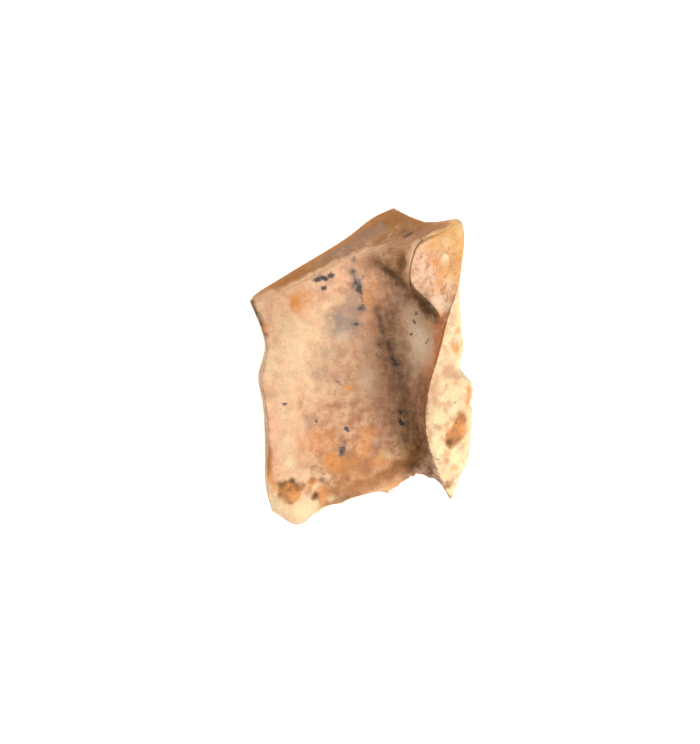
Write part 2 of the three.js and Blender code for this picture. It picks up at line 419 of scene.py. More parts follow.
# ovals: steps across and down, half width, half height and rise in degrees
ovals = {
    "shoulder": (396, 262, 15, 20),
    "shoulderHollow": (402, 262, 6, 9),
    "cheekHollow": (453, 371, 8, 7, -20),
    "smallPit": (315, 496, 4, 3.6),
    "layerHollow": (449, 484, 2.6, 5.5, -25),
    "upperWallDent": (463, 366, 3.0, 2.2),
    "lowerWallDent": (473, 402, 2.6, 2.2),
    "cornerFill": (289, 490.5, 15, 16),
    "cornerFillRim": (289, 492.5, 12.6, 12.6),
}

# depths of the hollows, which fade out on the walls, and of the dents in the wall's upper edge
hollows = {"shoulderHollow": 0.00025, "cheekHollow": 0.00016, "smallPit": 0.0003, "layerHollow": 0.0002}
wallDents = {"upperWallDent": 0.00008, "lowerWallDent": 0.00014}

sculpt = {
    "crestBelow": [(436, 466), (443, 481), (451, 500)],
    "wornDirection": (-0.39, 0.87, 0.31),
    "fineOffRoot": 0.4,
    "grooveSharpness": 6,
    "pitDepth": 0.0003,
    "lobeHeight": 0.00018,
    "cornerFillHeight": 0.0003,
    "edgeShare": 0.3,
    "lipReach": 3.5,
    "lipPush": (0.00005, -0.0003, 0.0),
}


def fade(name, values):
    return ramp(*fades[name], values)


def reliefNoise(name):  # from -1 to 1
    about = relief[name]
    return noiseAt(points * about.get("squeeze", 1.0), about["size"], about["seed"])


def uneven(name):
    return relief[name]["height"] * reliefNoise(name)


def groove(line, reach, depth, endFade):
    distance, along = pathDistance(spots, marks[line])
    ends = ramp(0.0, endFade, along) * ramp(0.0, endFade, 1.0 - along)
    return depth * bell(distance, reach) * ends * upper


def inOval(name):
    return bell(ovalReach(spots, *ovals[name]))


print("tooth surface: sculpt")
points = readPoints(tooth.data, "co")
normals = readPoints(tooth.data, "normal")
spots = toPlan(points)
across, down = spots.T
upper = fade("facesUp", normals[:, 2]) * fade("aboveWall", points[:, 2])  # the near flank
lift = np.zeros(len(points))  # metres along the surface normal

crestLine = marks["crest"] + sculpt["crestBelow"]
crestAcross = np.interp(down, [spot[1] for spot in crestLine], [spot[0] for spot in crestLine])
inTrough = fade("troughAcross", across) * fade("leftOfCrest", across - crestAcross)
wornDirection = np.array(sculpt["wornDirection"])
worn = fade("facesWorn", normals @ wornDirection) * fade("wornDown", down)
enamelSide = fade("shoulderDown", down) * fade("shoulderAcross", across)
rooty = 1.0 - np.maximum(worn, enamelSide)  # all but the worn crown and the enamel
lumpy = fade("lumpyDown", down) * fade("lumpyAcross", across) * upper
broken = fade("facesRootEnd", -normals[:, 1]) * fade("brokenDown", down)
broken *= fade("brokenHeight", points[:, 2])

lift += uneven("broad")
lift += uneven("middling") * rooty * upper
lift += uneven("fine") * atLeast(sculpt["fineOffRoot"], rooty)
lift += lumpy * (uneven("lumps") + uneven("smallLumps"))
rootGrooves = (1.0 - np.abs(reliefNoise("rootGrooves"))) ** sculpt["grooveSharpness"]
lift -= relief["rootGrooves"]["height"] * rootGrooves * rooty * (1 - upper) * (1 - inTrough)
lift += broken * (uneven("broken") + uneven("smallBroken"))

for about in grooves:
    lift -= groove(*about)
for name, depth in hollows.items():
    lift -= depth * inOval(name) * upper
for name, depth in wallDents.items():
    lift -= depth * inOval(name)

inPit = fade("pitEdge", insideDistance(spots, faces["cheekPit"])) * upper
lift -= inPit * (sculpt["pitDepth"] + uneven("cheekPit"))
lift += sculpt["lobeHeight"] * fade("lobeEdge", insideDistance(spots, faces["lobe"])) * upper
lift += inOval("cornerFill") * upper * (sculpt["cornerFillHeight"] + uneven("cornerFill"))
lift += inOval("shoulder") * upper * uneven("uprightRidges")

# uneven layers on the cheek side of the root, and small dents over the lower flank
onCheek = fade("cheekAcross", across) * fade("cheekLayersDown", down) * upper
layers = reliefNoise("cheekLayers")
lift += relief["cheekLayers"]["height"] * onCheek * np.sign(layers) * fade("layerStep", np.abs(layers))
dented = fade("dentsDown", down) * fade("dentsAcross", across) * upper
lift -= relief["dents"]["height"] * dented * fade("dentRim", reliefNoise("dents"))

# edges keep the shape of the solid, and the thin lip moves out to its edge
lift *= atLeast(sculpt["edgeShare"], fade("sharpEdges", sharpGap(points)))
points += normals * lift[:, None]
nearLip = bell(lineGap(spots, "thinEdge"), sculpt["lipReach"]) * fade("lipHeight", points[:, 2])
points += np.outer(nearLip, sculpt["lipPush"])
points = np.clip(points, np.array(cadLow), np.array(cadHigh))
tooth.data.vertices.foreach_set("co", points.astype(np.float32).ravel())
tooth.data.update()
for face in tooth.data.polygons:
    face.use_smooth = True

# masks painted on the surface, read by the material

masks = {
    "warmFrom": (424, 268),
    "warmSlant": 0.45,
    "cheekOnFlank": 0.4,
    "stripDown": (305, 325, 348, 372, 395, 440),
    "stripWidth": (10, 13, 11, 8, 6, 5),
    "mottling": 0.22,
    "middleMottling": 0.33,
    "farAway": 50,
    # the layer lines are painted shade along the steps of the cheek's layers and ledges
    "layerLines": ("layer", "ledge", "ledges"),
    # the lobe's foot line is painted shadow under the lobe's end; the slit and the tip line are real dark
    # marks
    "thinDarkLines": (("slit", 0.66, 0.0), ("tipLine", 1.5, 0.3), ("lobeFoot", 1.1, 0.4)),  # gap times and plus
}


def paint(name, values):
    layer = tooth.data.attributes.new(name, "FLOAT", "POINT")
    layer.data.foreach_set("value", np.asarray(values, np.float32))


print("tooth surface: paint")
normals = readPoints(tooth.data, "normal")
spots = toPlan(points)
across, down = spots.T
upper = fade("facesUpPainted", normals[:, 2]) * fade("aboveWall", points[:, 2])
worn = fade("facesWornPainted", normals @ wornDirection) * fade("wornDown", down)
paint("worn", worn)

enamelNear = fade("enamelEdge", insideDistance(spots, faces["enamel"])) * upper
enamelFar = fade("facesRight", normals[:, 0]) * fade("enamelDown", down) * fade("facesDown", normals[:, 2])
enamel = np.maximum(enamelNear, enamelFar) * (1 - worn)
paint("enamel", enamel)
warmAcross, warmDown = masks["warmFrom"]
paint("enamelWarmth", fade("warmth", across - warmAcross + (warmDown - down) * masks["warmSlant"]))

cheek = fade("rightOfCrest", across - crestAcross) * fade("cheekDown", down)
cheek *= fade("facesCheek", normals[:, 0] + upper * masks["cheekOnFlank"]) * (1 - enamel)
paint("cheek", cheek)

stripWidth = np.interp(down, masks["stripDown"], masks["stripWidth"])
strip = fade("stripEdge", (crestAcross - across) / stripWidth) * (1 - cheek) * (1 - enamel) * upper
paint("strip", strip * fade("stripStart", down) * fade("stripEnd", down))

lowerPlate = fade("plateDown", down) * fade("plateAcross", across) * (1 - cheek) * upper
mottled = masks["mottling"] + masks["middleMottling"] * fade("middleAcross", across) * (1 - cheek)
paint("mottled", mottled * upper + (1 - mottled) * lowerPlate)

cornerFill = fade("cornerFillEdge", ovalReach(spots, *ovals["cornerFillRim"])) * upper
paint("pitFill", np.maximum(inPit, cornerFill))

offFlank = (1 - upper) * masks["farAway"]
paint("crackGap", lineGap(spots, "crack") + offFlank)
paint("crestFootGap", lineGap(spots, "crestFoot") + offFlank)
paint("layerGap", np.min([lineGap(spots, name) for name in masks["layerLines"]], 0) + offFlank)
thinGaps = [lineGap(spots, name) * times + plus for name, times, plus in masks["thinDarkLines"]]
paint("thinGap", np.min(thinGaps, 0) + offFlank)

# stains and mineral grains painted on the surface, with painted shade and painted highlights among them

colours = {
    "cream": (0.82, 0.56, 0.33),
    "pink": (0.80, 0.44, 0.265),
    "umber": (0.46, 0.235, 0.125),
    # peach: pale patches, and also the painted highlight along raised ridges, rims and the lip
    "tan": (0.38, 0.165, 0.055),
    "peach": (0.76, 0.45, 0.25),
    "paleYellow": (0.80, 0.60, 0.34),
    "cheekCream": (0.69, 0.51, 0.30),
    "cheekYellow": (0.70, 0.60, 0.33),
    "cheekPink": (0.62, 0.36, 0.21),
    "amber": (0.80, 0.43, 0.15),
    "enamel": (0.71, 0.445, 0.295),
    "enamelOrange": (0.68, 0.33, 0.12),
    "worn": (0.29, 0.11, 0.016),
    "wornLight": (0.44, 0.18, 0.036),
    "rust": (0.30, 0.11, 0.012),
    "wornPale": (0.43, 0.275, 0.185),
    "olive": (0.16, 0.07, 0.008),
    "strip": (0.60, 0.185, 0.055),
    "orange": (0.68, 0.26, 0.065),
    "orangeBrown": (0.36, 0.145, 0.045),
    "grey": (0.34, 0.24, 0.18),
    # beige is paler than the wall's own tone: partly its colour, partly painted light on the trough's right
    # wall
    "beige": (0.86, 0.66, 0.45),
    "yellow": (0.56, 0.35, 0.12),
    "red": (0.37, 0.15, 0.068),
    "brown": (0.12, 0.054, 0.014),
    "darkBrown": (0.055, 0.035, 0.02),
    "slate": (0.17, 0.15, 0.14),
    "blueGrey": (0.115, 0.108, 0.102),
    "black": (0.034, 0.032, 0.029),
}

# stains on the near flank, with painted shade and painted highlights among them, laid over each other in
# this order, each a list of ovals:
# steps across and down, half width, half height, rise in degrees, strength
stainsAndPaintedLight = {
    # umber: brown tone of the plate, and in the large ovals over the trough painted shade of the crest's
    # shadow
    "umber": [
        (358, 464, 36, 22, 0, 0.5), (350, 385, 36, 64, 0, 0.62), (366, 320, 28, 36, 0, 0.66),
        (384, 430, 26, 38, 0, 0.5), (332, 430, 30, 30, 0, 0.6), (306, 425, 8, 20, 12, 0.5),
        (345, 466, 42, 20, 0, 0.75), (392, 470, 28, 14, 25, 0.75), (362, 266, 16, 10, 0, 0.6),
        (322, 296, 12, 10, 0, 0.25), (340, 495, 26, 8, 10, 0.7), (395, 400, 14, 50, 0, 0.5),
        (416, 395, 9, 34, 0, 0.65), (376, 452, 13, 11, 0, 0.75), (366, 484, 18, 7, 12, 0.6),
    ],
    "tan": [
        (395, 250, 16, 14, 0, 0.7), (402, 268, 9, 16, 0, 0.7), (386, 258, 10, 9, 0, 0.5),
        (413, 246, 6, 6, 0, 0.4), (376, 254, 10, 6, 20, 0.3), (396, 470, 16, 6, 25, 0.5),
        (348, 465, 26, 15, 0, 0.65), (377, 452, 12, 9, 0, 0.35), (396, 485, 13, 6, 15, 0.6),
        (345, 466, 10, 8, 0, 0.5), (422, 224, 22, 9, 0, 0.6), (393, 215, 14, 8, 0, 0.6),
        (418, 234, 14, 7, 20, 0.6), (345, 488, 26, 7, 12, 0.6), (366, 462, 12, 8, 0, 0.4),
        (338, 470, 12, 8, 0, 0.4),
    ],
    "grey": [
        (343, 324, 16, 15, 0, 0.9), (352, 306, 11, 13, 0, 0.65), (368, 346, 12, 14, 0, 0.2),
        (328, 352, 12, 9, 0, 0.35), (318, 372, 10, 9, 0, 0.35), (308, 425, 7, 12, 10, 0.4),
        (452, 372, 7, 5, 0, 0.3), (377, 446, 8, 4, 40, 0.55), (384, 440, 5, 3, 40, 0.4),
        (336, 378, 10, 10, 0, 0.2), (368, 235, 20, 6, 32, 0.4), (402, 298, 9, 10, 0, 0.5),
        (420, 466, 9, 6, 0, 0.15),
    ],
    # beige: the trough's right wall, partly its own beige, partly painted light on a wall that faces away
    # from the key lamp
    "beige": [
        (438, 305, 6, 8, 0, 0.4), (421, 340, 9, 20, 10, 0.95), (412, 316, 10, 12, 0, 0.5),
        (370, 380, 10, 13, 0, 0.35), (414, 366, 5, 14, 5, 0.3), (386, 456, 5, 5, 0, 0.4),
        (344, 337, 8, 5, 0, 0.3), (338, 300, 6, 6, 0, 0.3),
    ],
    "cheekPink": [
        (448, 370, 6, 10, 0, 0.75), (434, 396, 3.4, 12, 6, 0.7), (450, 342, 3, 12, -8, 0.15),
        (455, 316, 4, 8, 0, 0.5), (462, 386, 7, 2.4, -20, 0.6), (460, 397, 8, 3.4, -20, 0.6),
        (458, 404, 4, 4, 0, 0.3), (447, 428, 3, 6, 0, 0.4), (462, 452, 6, 5, 0, 0.35),
        (449, 470, 7, 8, 0, 0.4), (457, 372, 5, 4, 0, 0.6), (433, 424, 3, 5, 0, 0.3),
    ],
    "cheekYellow": [
        (461, 325, 3, 16, 0, 0.8), (459, 360, 4, 7, 0, 0.9), (458, 386, 8, 4, 0, 0.9),
        (455, 395, 6, 6, 0, 0.7), (438, 416, 7, 6, 0, 0.9), (452, 413, 7, 5, 0, 0.7),
        (436, 444, 5, 9, 0, 0.9), (468, 440, 3, 14, 0, 0.9), (456, 457, 7, 6, 0, 0.9),
        (451, 490, 4, 6, 0, 0.8), (463, 470, 4, 8, 0, 0.7), (469, 380, 2.4, 6, 0, 0.6),
    ],
    "yellow": [
        (424, 326, 5, 8, 10, 0.35), (366, 300, 5, 5, 0, 0.25), (338, 300, 6, 5, 0, 0.35),
        (383, 456, 5, 5, 0, 0.8), (374, 388, 6, 5, 0, 0.3), (404, 452, 5, 8, 20, 0.5),
        (326, 362, 4, 3, 0, 0.5), (400, 440, 5, 12, 0, 0.3),
    ],
    "red": [
        (333, 407, 8, 4, 10, 0.8), (373, 427, 5, 5, 0, 0.9), (381, 433, 4, 5, 0, 0.8),
        (352, 424, 5, 9, 0, 0.6), (375, 452, 7, 5, 0, 0.7), (370, 484, 20, 5, 15, 0.9),
        (352, 491, 12, 4, 15, 0.6), (354, 405, 5, 5, 0, 0.6), (360, 412, 4, 4, 0, 0.5),
        (270, 395, 6, 6, 0, 0.4), (268, 455, 4, 14, 0, 0.5), (268, 322, 3, 14, -15, 0.3),
        (277, 338, 3, 14, -20, 0.25), (263, 345, 2.5, 8, 0, 0.3), (300, 404, 3, 6, 0, 0.5),
        (366, 462, 8, 8, 0, 0.6), (449, 372, 6, 9, -10, 0.35), (432, 394, 4, 12, 0, 0.35),
        (372, 262, 9, 5, -25, 0.45), (357, 416, 5, 5, 0, 0.6), (345, 440, 6, 4, 0, 0.4),
        (388, 448, 5, 6, 0, 0.4), (400, 250, 5, 9, 0, 0.2), (360, 436, 6, 6, 0, 0.5),
        (432, 400, 3, 20, -8, 0.3), (386, 462, 7, 4, 30, 0.5), (325, 452, 7, 5, 0, 0.3),
    ],
    "orange": [
        (367, 299, 6, 7, 0, 0.45), (376, 285, 4, 10, 20, 0.25), (293, 302, 4.5, 9, 0, 1.0),
        (299, 310, 7, 3.6, 20, 0.8), (303, 295, 8, 3.6, 20, 0.6), (299, 301, 13, 13, 0, 0.45),
        (285, 285, 16, 3.4, 30, 0.6), (441, 316, 5, 5, 0, 0.6), (347, 389, 4.2, 3, 0, 0.85),
        (337, 462, 12, 9, 0, 0.8), (363, 450, 9, 8, 0, 0.55), (352, 462, 8, 7, 0, 0.6),
        (311, 484, 7, 4, 0, 0.75), (456, 351.5, 3, 4.6, 10, 0.95), (469, 391, 2.2, 6, 0, 1.0),
        (468, 401, 1.8, 5, 0, 1.0), (436, 262, 6, 5, 0, 0.65), (442, 275, 8, 7, 0, 0.6),
        (438, 287, 7, 8, 0, 0.4), (449.5, 300, 2.5, 3, 0, 0.8), (309, 300, 9, 6, 0, 0.35),
        (318, 440, 20, 12, 0, 0.5), (323, 494, 5, 10, 10, 0.8), (446, 429, 3, 5, 0, 0.5),
        (446, 452, 3, 3, 0, 0.7), (446, 461, 2.4, 2, 0, 0.7), (456, 469, 3, 2, 0, 0.6),
        (393, 488, 15, 6, 12, 0.55), (456, 330, 2, 2, 0, 0.6), (350, 478, 12, 8, 0, 0.3),
        (368, 435, 9, 9, 0, 0.5), (266, 330, 3, 6, 0, 0.6), (348, 448, 8, 8, 0, 0.4),
        (378, 462, 8, 5, 0, 0.5), (345, 465, 14, 9, 0, 0.45), (297, 302, 3.4, 7, 10, 1.0),
        (440, 226, 14, 5, 15, 0.5), (395, 216, 10, 5, 0, 0.35), (290, 281, 18, 6, 32, 0.35),
        (283, 313, 16, 14, 0, 0.16), (455, 384, 4, 3, 0, 0.4), (458, 430, 9, 15, 25, 0.15),
        (463, 428, 3.4, 8, 20, 0.55), (330, 400, 6, 4, 0, 0.2), (432, 247, 6, 4, 20, 0.4),
    ],
    "orangeBrown": [
        (376, 478, 14, 6, 15, 0.4), (343, 481, 8, 5, 0, 0.9), (336, 492, 9, 5, 10, 0.75),
        # (402, 262) in the shoulder hollow: partly brown stain, partly painted shade in the hollow
        (356, 487, 13, 5, 10, 0.75), (402, 262, 5.5, 10, 0, 0.9), (334, 433, 6, 6, 0, 0.35),
        (454, 436, 6, 8, 30, 0.6), (460, 418, 4, 7, 25, 0.45), (458, 429, 8, 14, 25, 0.2),
        (288, 493, 12, 12, 0, 0.1), (345, 465, 10, 8, 0, 0.4), (352, 455, 8, 6, 0, 0.3),
        (448, 486, 4, 4, 0, 0.7), (300, 487, 4, 5, 0, 0.7), (311, 481, 4, 3, 0, 0.8),
        (366, 471, 6, 5, 0, 0.7), (398, 466, 7, 4, 35, 0.8), (385, 474, 6, 3, 30, 0.7),
        (362, 428, 5, 4, 0, 0.5), (325, 487, 6, 6, 0, 0.4), (371, 440, 5, 4, 0, 0.4),
        (308, 491, 4, 5, 0, 0.4),
    ],
    "rust": [
        (418, 231, 18, 8, 10, 0.85), (395, 219, 14, 7, 0, 0.7), (438, 228, 11, 5, 15, 0.9),
        (290, 281, 20, 6, 32, 0.5),
    ],
    "peach": [(413, 262, 2, 12, 0, 0.3)],
    "amber": [
        (457, 228, 7, 11, 0, 1.0), (461, 248, 3.4, 18, 0, 0.8), (436, 239.5, 9, 3, 14, 0.9),
        (450, 232, 7, 5, 35, 0.8), (430, 247, 12, 6, 15, 0.5), (450, 243, 11, 8, 0, 0.5),
        (446, 276, 6, 10, 0, 0.4), (455, 276, 4, 12, 0, 0.5), (288, 499, 9, 5, 0, 0.2),
    ],
    "paleYellow": [
        (445, 259, 3, 4.6, 0, 0.85), (459, 229, 4, 8, 0, 0.35), (282, 385, 12, 20, 0, 0.25),
        (312, 330, 16, 14, 0, 0.12), (446, 243, 6, 5, 0, 0.5), (304, 511, 14, 8, 20, 1.0),
        (281, 505, 8, 5, -40, 0.8), (288, 463, 8, 7, 0, 0.8), (286, 445, 9, 14, 0, 0.5),
        (290, 428, 9, 14, 0, 0.3), (449.5, 305, 3, 2.6, 0, 0.4), (331, 498, 3, 4, 0, 0.5),
        (270, 362, 6, 12, 0, 0.5), (283, 330, 10, 12, 0, 0.35), (276, 508, 6, 8, 0, 0.8),
        (296, 350, 8, 20, 0, 0.3), (268, 490, 3, 12, 0, 0.5), (325, 478, 4, 3, 0, 0.4),
        (315, 487, 3, 3, 0, 0.6), (388, 489, 8, 3, 15, 0.4), (448, 284, 4, 8, 0, 0.4),
    ],
    # brown: dark stains; (390, 272) and (420, 294) along the foot of the shoulder and the enamel are
    # painted shade beneath them
    "brown": [
        (395, 361, 6, 8, 10, 0.4), (402, 418, 7, 10, 0, 0.35), (401, 378, 3.6, 7, 12, 0.85),
        (380, 321, 3.4, 11, 12, 0.6), (389.5, 345, 3.4, 11, 14, 0.75), (405, 392, 3, 8, 12, 0.5),
        (390, 272, 8, 3.6, -40, 0.7), (315.5, 496, 4.6, 4.2, -30, 1.0), (420, 446, 2.6, 4, 0, 0.9),
        (420, 432, 5, 14, 0, 0.4), (429, 468, 4, 10, 25, 0.7), (438, 484, 3, 6, 30, 0.5),
        (282, 482, 5, 3.4, 0, 0.7), (418, 463, 12, 8, 25, 0.85), (410, 470, 10, 5, 30, 0.5),
        (411, 430, 5, 18, 0, 0.5), (430, 478, 8, 5, -20, 0.6), (292, 480, 4, 2.4, 0, 0.7),
        (450, 497, 3, 2, 0, 0.6), (404, 232, 5, 2, 24, 0.5), (300, 484, 6, 3, 0, 0.35),
        (344, 499, 12, 2.4, 15, 0.5), (448.5, 442, 3.4, 5, 20, 0.8), (458, 418, 4, 6, 20, 0.4),
        (420, 294, 9, 6, -42, 0.3), (423, 396, 4, 22, 0, 0.65),
    ],
    # olive: dark stains; (392, 274) and (426, 304) are painted shade beneath the shoulder and the enamel,
    # and (402.5, 263) in the shoulder hollow is partly stain, partly painted shade
    "olive": [
        (402.5, 263, 4.2, 7, 0, 0.9), (449, 484, 2.4, 5, -25, 0.65), (392, 274, 8, 4, -40, 0.5),
        (426, 304, 12, 5, -42, 0.35), (413, 424, 5, 10, 0, 0.35), (281, 484, 5, 3, 0, 0.4),
    ],
    "slate": [
        (357, 284, 5.5, 10, 16, 0.6), (353.5, 272, 4, 5, 0, 0.5), (354, 259, 3, 4, 0, 0.35),
        (361, 308, 5, 4, 15, 0.45), (356.5, 324, 5, 4, 20, 0.45), (325, 279, 10, 4, 0, 0.3),
        (345, 448, 7, 8, 0, 0.25), (380, 322, 3, 10, 12, 0.25),
    ],
}

# ovals where mineral grains gather, in the same form; the dark grains along the shoulder's foot are painted
# shade
grains = [
    (317, 279.5, 5.5, 3, 12, 1.3), (324, 278.5, 6, 3.2, -8, 1.35), (331, 275.5, 4, 4, 0, 1.2),
    (327, 281, 14, 9, 0, 0.3), (324, 288, 3.6, 3.4, 0, 1.15), (354, 260, 2.6, 4, 0, 0.7),
    (353, 272, 4, 6, 0, 0.85), (356, 282, 3, 7, 18, 1.0), (359.5, 289, 2.6, 6.5, 16, 1.25),
    (363, 277, 3, 3, 0, 0.7), (356, 284, 6.5, 11, 12, 0.75), (353, 271, 5, 6, 0, 0.6),
    (361.6, 299, 1.6, 4, 5, 0.95), (361, 308, 5.4, 3.2, 15, 0.95), (356.2, 324, 3.2, 2.6, 20, 1.15),
    (343, 322, 16, 14, 0, 0.25), (345, 335, 10, 8, 0, 0.2), (380, 344.5, 3.5, 3.4, 0, 0.8),
    (377, 356, 3.6, 3.2, 0, 0.6), (383, 335, 2.4, 6, 0, 0.6), (386, 316, 3, 7, 0, 0.6),
    (395.8, 363.5, 3.6, 2.6, 0, 1.2), (393, 359, 2.4, 3.4, 20, 1.1), (397.5, 366, 2, 2.4, 0, 0.95),
    (395, 361, 8, 9, 0, 0.5), (390, 346, 3, 9, 15, 0.6), (380, 322, 3, 9, 12, 0.5),
    (400.5, 376, 3.6, 7, 0, 0.75), (394, 350, 9, 26, 12, 0.36), (401, 412, 3, 2.6, 30, 1.15),
    (404.5, 410.5, 4, 1.8, 15, 1.0), (409.5, 411, 3, 1.4, -20, 0.8), (400, 420.5, 2.4, 2.6, 0, 1.15),
    # (388.5, 270), (395, 277), (390, 273), (408, 288) and further on (428, 300) darken the foot of the
    # shoulder and the enamel: painted shade beneath them
    (402.5, 423.5, 3.4, 2.8, -15, 1.25), (405, 418, 12, 14, 0, 0.28), (388.5, 270, 7, 2.6, -40, 0.5),
    (395, 277, 8, 2.6, -42, 0.65), (390, 273, 14, 8, -35, 0.32), (408, 288, 12, 7, -35, 0.25),
    (414, 322, 1.8, 3.4, 0, 1.0), (411, 334, 1.8, 1.8, 0, 1.05), (427.5, 341, 1.8, 4.5, -35, 0.8),
    (416, 314, 2.4, 3, 0, 0.85), (423, 310, 3.4, 2, -30, 0.75), (412, 325, 14, 22, 0, 0.34),
    (285, 404, 2.6, 2.2, 0, 1.2), (280, 409, 1.6, 1.6, 0, 0.6), (316, 421, 2.4, 2.2, 0, 1.0),
    (346, 428.5, 2.6, 3, 20, 1.2), (348.5, 431, 2, 2.6, 0, 1.05), (345, 443, 3, 5, 0, 0.7),
    (342, 451, 4.4, 6.4, -10, 1.15), (350, 458, 8, 10, 0, 0.42), (360, 465, 5, 7, 0, 0.45),
    (331, 465, 3, 2.6, 0, 0.65), (322, 479, 4.6, 3.6, 0, 0.85), (320, 470, 14, 12, 0, 0.28),
    (345, 448, 20, 24, 0, 0.27), (408, 235, 5, 1.2, 28, 0.25), (428.5, 232.3, 3.4, 1.4, 20, 0.8),
    (418, 234, 3, 1.4, 20, 0.6), (421, 238, 6, 2, 10, 0.4), (384, 222, 5, 3, 20, 0.3),
    (455, 403, 2, 1.8, 0, 0.85), (448, 391, 4, 3, 0, 0.38), (339, 383, 7, 1.8, -38, 0.75),
    (286, 313, 8, 8, 0, 0.25), (447, 487, 3, 2.4, 0, 0.5), (412, 443, 4, 6, 0, 0.35),
    (309, 337, 2, 1.6, 0, 0.7), (313, 341, 2, 1.6, 0, 0.6), (306, 480, 5, 3, 0, 0.45),
    (292, 480, 4, 2.4, 0, 0.6), (453, 442, 4, 2.4, 0, 0.15), (452, 338, 6, 10, 0, 0.28),
    (400, 395, 8, 20, 0, 0.2), (428, 300, 6, 6, -40, 0.3), (456, 372, 6, 5, 0, 0.3),
    (410, 376, 8, 30, 0, 0.24),
]

# strokes along the lines, of stains, painted shade and painted highlights: line, half width, strength from
# its start to its end
strokesOfStainAndPaintedLight = {
    # umber along the valley and the crease: partly brown stain, partly painted shade in these hollows
    "umber": [("valley", 16, (0.3, 0.55, 0.7, 0.7, 0.75, 0.7)), ("crease", 10, (0.8, 0.8, 0.6, 0.2))],
    "tan": [
        ("baseEdge", 6, (0.6, 0.8, 0.8)), ("crease", 7, (0.7, 0.7, 0.5, 0.1)),
        ("farEdge", 5, (0.6, 0.6, 0.5, 0.5, 0.6, 0.6, 0.5, 0.3)),
    ],
    "grey": [("bandMiddle", 4.5, (0.0, 0.05, 0.3, 0.5, 0.45, 0.1))],
    # peach along the ridge, the plate fold, the crack's rim and the lip: painted highlight on these raised
    # edges
    "peach": [
        ("ridge", 3.4, (0.5, 0.9, 1.0, 1.0, 0.9, 0.4)), ("plateFold", 3, (0.5, 0.8, 0.8, 0.3)),
        ("crackRim", 2.2, (0.7, 0.8, 0.8, 0.5)), ("lip", 5, (0.0, 0.1, 0.2, 0.2)),
    ],
    # amber along the upper edge: painted highlight on the rounded ridge
    "amber": [("upperEdge", 2.0, (0.7, 0.8, 0.8, 0.8))],
    # brown: along the valley partly brown stain, partly painted shade; along the shoulder's foot, the
    # enamel's lower edge, beside the crest, in the crease and along the tongue-side rim painted shade
    "brown": [
        ("valley", 6, (0.1, 0.2, 0.4, 0.6, 0.7, 0.6, 0.55)),
        ("valley", 13, (0.1, 0.4, 0.45, 0.45, 0.55, 0.6)),
        ("valleyStreak", 3.6, (0.6, 0.75, 0.6, 0.7, 0.7, 0.6, 0.4)),
        ("shoulderFoot", 4.5, (0.2, 0.8, 0.8, 0.6, 0.75, 0.85, 0.5)),
        ("shoulderFoot", 9, (0.1, 0.4, 0.4, 0.3, 0.3, 0.4, 0.2)),
        ("enamelFoot", 7, (0.5, 0.8, 0.9, 0.9, 0.6)), ("crestShade", 8, (0.0, 0.2, 0.5, 0.7, 0.7)),
        ("crease", 5, (0.9, 0.75, 0.55, 0.3, 0.0)), ("tongueRim", 3.6, (0.9, 0.85, 0.3, 0.3, 0.35, 0.4)),
    ],
    "orange": [
        ("flankEdge", 2.4, (0.3, 0.8, 0.9, 0.5)), ("crease", 7, (0.2, 0.4, 0.5, 0.3, 0.1)),
        ("farEdge", 3, (0.5, 0.5, 0.4, 0.3, 0.3, 0.1, 0.1, 0.4)),
    ],
}

grainStrokes = [
    ("valleyStreak", 5, (0.3, 0.45, 0.45, 0.5, 0.5, 0.5, 0.25)),
    # dark grains along the shoulder's foot: painted shade beneath the shoulder
    ("shoulderFoot", 3.6, (0.1, 0.5, 0.5, 0.32, 0.35, 0.4, 0.2)),
]

# how far the edges of stains, painted shade and highlights, and grains stray: size of the noise, its two
# seeds and the reach in steps
straying = {
    "stainsAndPaintedLight": (0.0006, 21.0, 33.0, 1.4),
    "wideStains": (0.0016, 51.0, 53.0, 3.0),
    "grains": (0.0003, 71.0, 73.0, 1.5),
}

staining = {
    "flatten": (1.0, 1.0, 0.4),  # keeps the noise from crowding on the steep walls
    "heightSize": 0.001,
    "heightSeed": 81.0,
    "heightReach": 0.0008,
    "troughTilt": 0.35,
    "offEnamel": 0.9,
    "offCheek": 0.9,
    "grainsWithStains": 0.5,
    "grainsElsewhere": 0.12,
}


def stray(name):
    size, acrossSeed, downSeed, reach = straying[name]
    flat = points * staining["flatten"]
    return reach * np.stack([noiseAt(flat, size, acrossSeed), noiseAt(flat, size, downSeed)], 1)


def strongest(places, ovalList, ovalEdge, strokeList):  # of all ovals and strokes at each place
    most = np.zeros(len(places))
    for *oval, strength in ovalList:
        most = np.maximum(most, strength * fade(ovalEdge, ovalReach(places, *oval)))
    for line, halfWidth, strengths in strokeList:
        distance, along = pathDistance(places, marks[line])
        steady = np.interp(along, np.linspace(0, 1, len(strengths)), strengths)
        most = np.maximum(most, steady * fade("strokeEdge", distance / halfWidth) * onRoot)
    return most


wander = stray("stainsAndPaintedLight")
stainSpots = spots + wander + stray("wideStains")
grainSpots = spots + staining["grainsWithStains"] * wander + stray("grains")
heightNoise = noiseAt(points, staining["heightSize"], staining["heightSeed"])
unevenHeight = points[:, 2] + staining["heightReach"] * heightNoise
onRoot = (1 - staining["offEnamel"] * enamel) * (1 - staining["offCheek"] * cheek)  # for strokes
onFlank = fade("facesUpStained", normals[:, 2] + staining["troughTilt"] * inTrough)
onFlank *= np.maximum(fade("stainedHeight", unevenHeight), worn)

# each colour's stains, painted shade and painted highlights become one painted mask
for name, ovalList in stainsAndPaintedLight.items():
    paint(name + "StainAndLight", strongest(stainSpots, ovalList, "stainEdge", strokesOfStainAndPaintedLight.get(name, [])) * onFlank)
gathered = strongest(grainSpots, grains, "grainEdge", grainStrokes)
paint("grains", gathered * onFlank + staining["grainsElsewhere"] * (1 - onFlank))

# the fossil material

